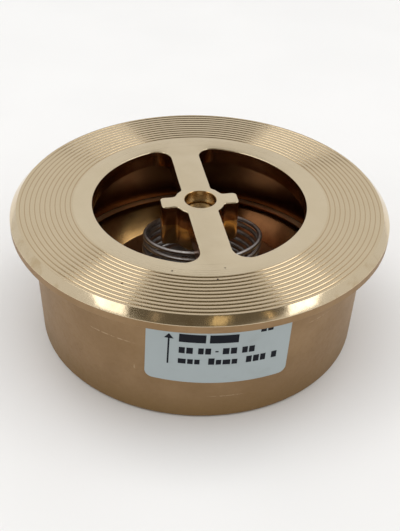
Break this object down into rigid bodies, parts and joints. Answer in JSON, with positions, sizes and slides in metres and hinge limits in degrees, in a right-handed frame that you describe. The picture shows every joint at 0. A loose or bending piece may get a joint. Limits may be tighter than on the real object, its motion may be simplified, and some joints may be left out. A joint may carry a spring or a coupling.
{
  "type": "wafer check valve",
  "caption": "Wafer disc check valve: round bronze housing with a serrated flange, bridge bar and guide hub, a spring-closed steel disc on a stem, and a seat ring.",
  "frame": {"origin": "centre of the inlet face, where the valve rests on a table", "axes": "+Z is the direction of flow, from the inlet face to the serrated outlet face; the bridge bar lies along Y and the guide ribs along X; the label faces -Y"},
  "size_m": [0.085, 0.085, 0.0315],
  "materials": {
    "cast_bronze": "cast bronze with a fine-turned, serrated outlet face",
    "machined_bronze": "turned bronze",
    "stainless": "turned stainless steel",
    "fastener_steel": "bright stainless fasteners",
    "spring_wire": "drawn stainless spring wire",
    "label_film": "matt self-adhesive film"
  },
  "bodies": {
    "housing": {"valve_body": "cast_bronze", "seat_ring": "machined_bronze", "closing_spring": "spring_wire", "rating_label": "label_film"},
    "stem": {"guide_stem": "stainless", "stem_washer": "fastener_steel", "stem_nut": "fastener_steel"},
    "disc": {"valve_disc": "stainless"}
  },
  "joints": [
    {"name": "disc_lift", "type": "slide", "parent": "housing", "child": "stem", "axis": [0, 0, 1], "range_m": [0, 0.008], "stiffness_N_per_m": 95, "springref_m": -0.018, "deforming": ["closing_spring"]},
    {"name": "disc_spin", "type": "hinge", "parent": "stem", "child": "disc", "pos_m": [0, 0, 0.0082], "axis": [0, 0, 1], "continuous": true}
  ]
}
